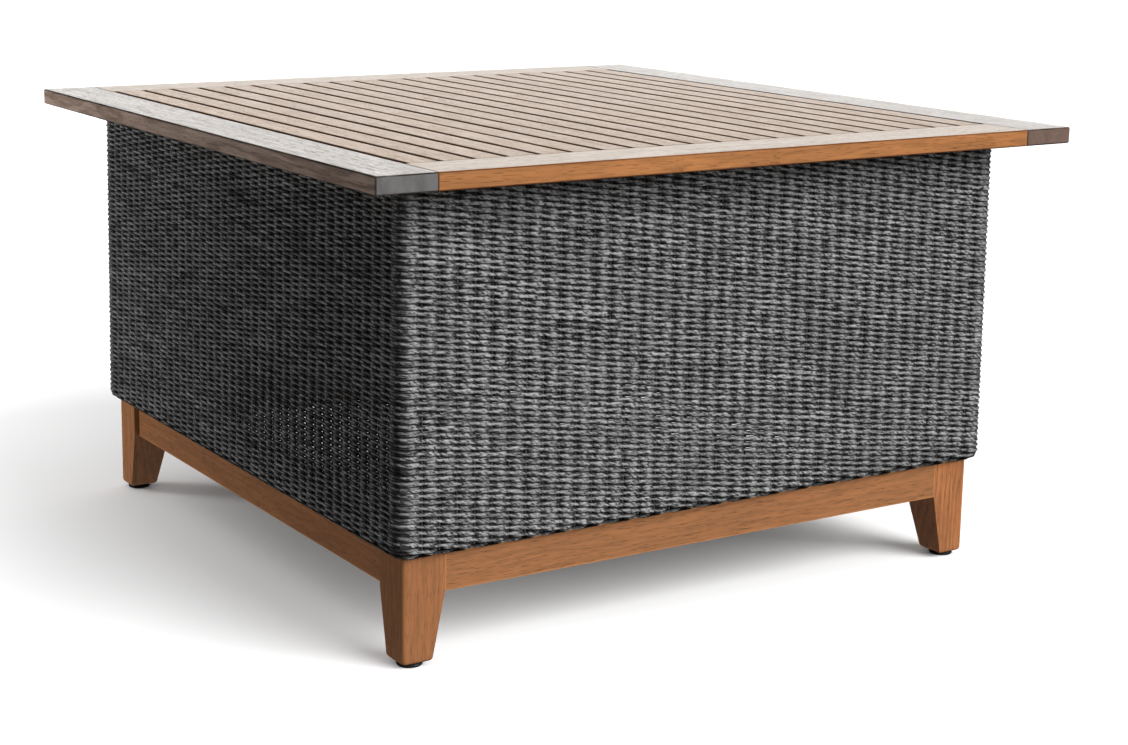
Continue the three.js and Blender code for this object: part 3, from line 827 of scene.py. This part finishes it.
def make_glides(plastic, steel):
    """A plastic pad on a threaded stem under each leg."""
    for corner in CORNERS:
        low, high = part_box("glide_" + corner)
        middle = (low + high) / 2
        pad_radius = (high.x - low.x) / 2
        pad_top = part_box("leg_" + corner)[0].z - 0.3 * MM
        corners = [
            (0, 0.5 * MM), (pad_radius * 0.55, 0.5 * MM), (pad_radius * 0.62, 0), (pad_radius * 0.93, 0),
            (pad_radius, 1.2 * MM), (pad_radius, 3.2 * MM), (pad_radius * 0.86, pad_top), (0, pad_top),
        ]
        pad = turned_solid("glide_" + corner, rounded_outline(corners, 0.7 * MM), 48)
        pad.transform(Matrix.Translation((middle.x, middle.y, 0)))
        new_piece("glide_" + corner, pad, plastic, "foot_" + corner, "glide_plastic", "glide_" + corner)
        stem = threaded_stem("glide_stem_" + corner, 4 * MM, 1.25 * MM, pad_top - 0.5 * MM, high.z)
        stem.transform(Matrix.Translation((middle.x, middle.y, 0)))
        new_piece("glide_stem_" + corner, stem, steel, "foot_" + corner, "glide_plastic")


def threaded_stem(name, radius, pitch, low, high):
    """A stem with a real helical thread."""
    segments, steps_per_turn = 24, 6
    steps = int((high - low) / pitch * steps_per_turn)
    heights = np.linspace(low, high, steps + 1)
    turn = np.arange(segments) * 2 * math.pi / segments
    phase = (heights[:, None] / pitch - turn / (2 * math.pi)) % 1
    ends = np.clip(np.minimum(heights - low, high - heights) / pitch, 0, 1)[:, None]
    reach = radius - 0.65 * MM * (np.abs(phase - 0.5) * 2 * ends + (1 - ends))
    points = np.stack([reach * np.cos(turn), reach * np.sin(turn), heights[:, None] + 0 * reach], -1)
    quads = ring_quads(np.arange(reach.size).reshape(reach.shape))
    return mesh_from_quads(name, points.reshape(-1, 3), quads, {})


def screw_heads(name, places, steel, slot):
    """Round screw heads on the underside of a piece, at those places, as one mesh."""
    radius, height, recess = 4.2 * MM, 2.2 * MM, 0.9 * MM
    corners = [
        (0, -recess), (1.6 * MM, -recess), (1.9 * MM, -height), (radius, -0.8 * MM), (radius, 0), (0, 0),
    ]
    shape = bmesh.new()
    for place in places:
        head = turned_solid(name, rounded_outline(corners, 0.5 * MM, 2), 20)
        head.transform(Matrix.Translation(place))
        shape.from_mesh(head)
        bpy.data.meshes.remove(head)
    mesh = bpy.data.meshes.new(name)
    shape.to_mesh(mesh)
    shape.free()
    new_piece(name, mesh, steel, "table", slot)


def make_screws(steel):
    """One screw through each batten into each slat, and three up through each top tube and base rail."""
    slat_middles = [sum(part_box(name), Vector()) / 2 for name in SLATS]
    for place in ("front", "middle", "back"):
        low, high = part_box("top_batten_" + place)
        places = [(middle.x, (low.y + high.y) / 2, low.z) for middle in slat_middles]
        screw_heads("batten_screws_" + place, places, steel, "insert_brass")
    for side in SIDES:
        for kind in ("frame_top_tube_", "base_rail_"):
            low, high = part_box(kind + side)
            middle = (low + high) / 2
            along = 0 if side in ("front", "back") else 1
            places = []
            for share in (-0.3, 0, 0.3):
                place = Vector((middle.x, middle.y, low.z))
                place[along] += share * (high[along] - low[along])
                places.append(place)
            screw_heads(kind.replace("frame_", "") + "screws_" + side, places, steel, "insert_brass")


# ---------------------------------------------------------------- putting it together

def paint_frame(coat, brass):
    """The welded frame and the inserts keep their own shapes."""
    for start, look in (("frame_", coat), ("glide_insert_", brass)):
        for name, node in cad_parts.items():
            if name.startswith(start):
                node.data.materials.clear()
                node.data.materials.append(look)


make_camera()
make_lights(make_floor(pale_floor()))

# Stiles: the near-black edge is painted shade; the pale top colour is partly painted sheen, partly
# weathering
stile_wood = wood(
    "stile_wood", light=(0.95, 0.72, 0.62), dark=(0.13, 0.090, 0.072), end=(0.105, 0.105, 0.107),
    edge=(0.010, 0.010, 0.010), edge_amount=1.0, roughness=0.33, warm_end=(0.118, 0.074, 0.057),
    top_weather_and_sheen=(0.31, 0.285, 0.26),
)
# Rails: the dark edge is painted shade; the pale top colour is partly painted sheen, partly weathering
rail_wood = wood(
    "rail_wood", light=(0.38, 0.138, 0.043), dark=(0.17, 0.056, 0.016), end=(0.20, 0.09, 0.04),
    edge=(0.10, 0.030, 0.008), edge_amount=0.95, roughness=0.40, specular=0.35, top_weather_and_sheen=(0.72, 0.63, 0.54),
)
# Slats: the pale top colour is partly painted sheen, partly weathering
slat_wood = wood(
    "slat_wood", light=(0.20, 0.105, 0.055), dark=(0.12, 0.06, 0.03), end=(0.12, 0.07, 0.04),
    edge=(0.16, 0.085, 0.045), edge_amount=0.7, roughness=0.40, top_weather_and_sheen=(0.56, 0.38, 0.245),
)
batten_wood = wood(
    "batten_wood", light=(0.30, 0.15, 0.07), dark=(0.18, 0.08, 0.035), end=(0.15, 0.07, 0.035),
    edge=(0.20, 0.09, 0.04), edge_amount=0.4, roughness=0.6,
)
# Legs and base rails: the pale edge colour is a painted highlight on the rounded edges, with some wear
base_wood = wood(
    "base_wood", light=(0.355, 0.126, 0.045), dark=(0.135, 0.047, 0.018), end=(0.15, 0.06, 0.027),
    edge=(0.55, 0.24, 0.08), edge_amount=0.55, roughness=0.5, specular=0.3,
)
steel = metal("zinc_steel", (0.62, 0.62, 0.63), (0.40, 0.40, 0.41), 0.28)
brass = metal("brass", (0.72, 0.52, 0.25), (0.48, 0.33, 0.15), 0.3)
weave_look = wicker()

make_top(stile_wood, rail_wood, slat_wood, batten_wood)
make_base(base_wood)
make_strands(weave_look)
make_stakes(weave_look)
make_glides(black_plastic(), steel)
make_screws(steel)
paint_frame(powder_coat(), brass)
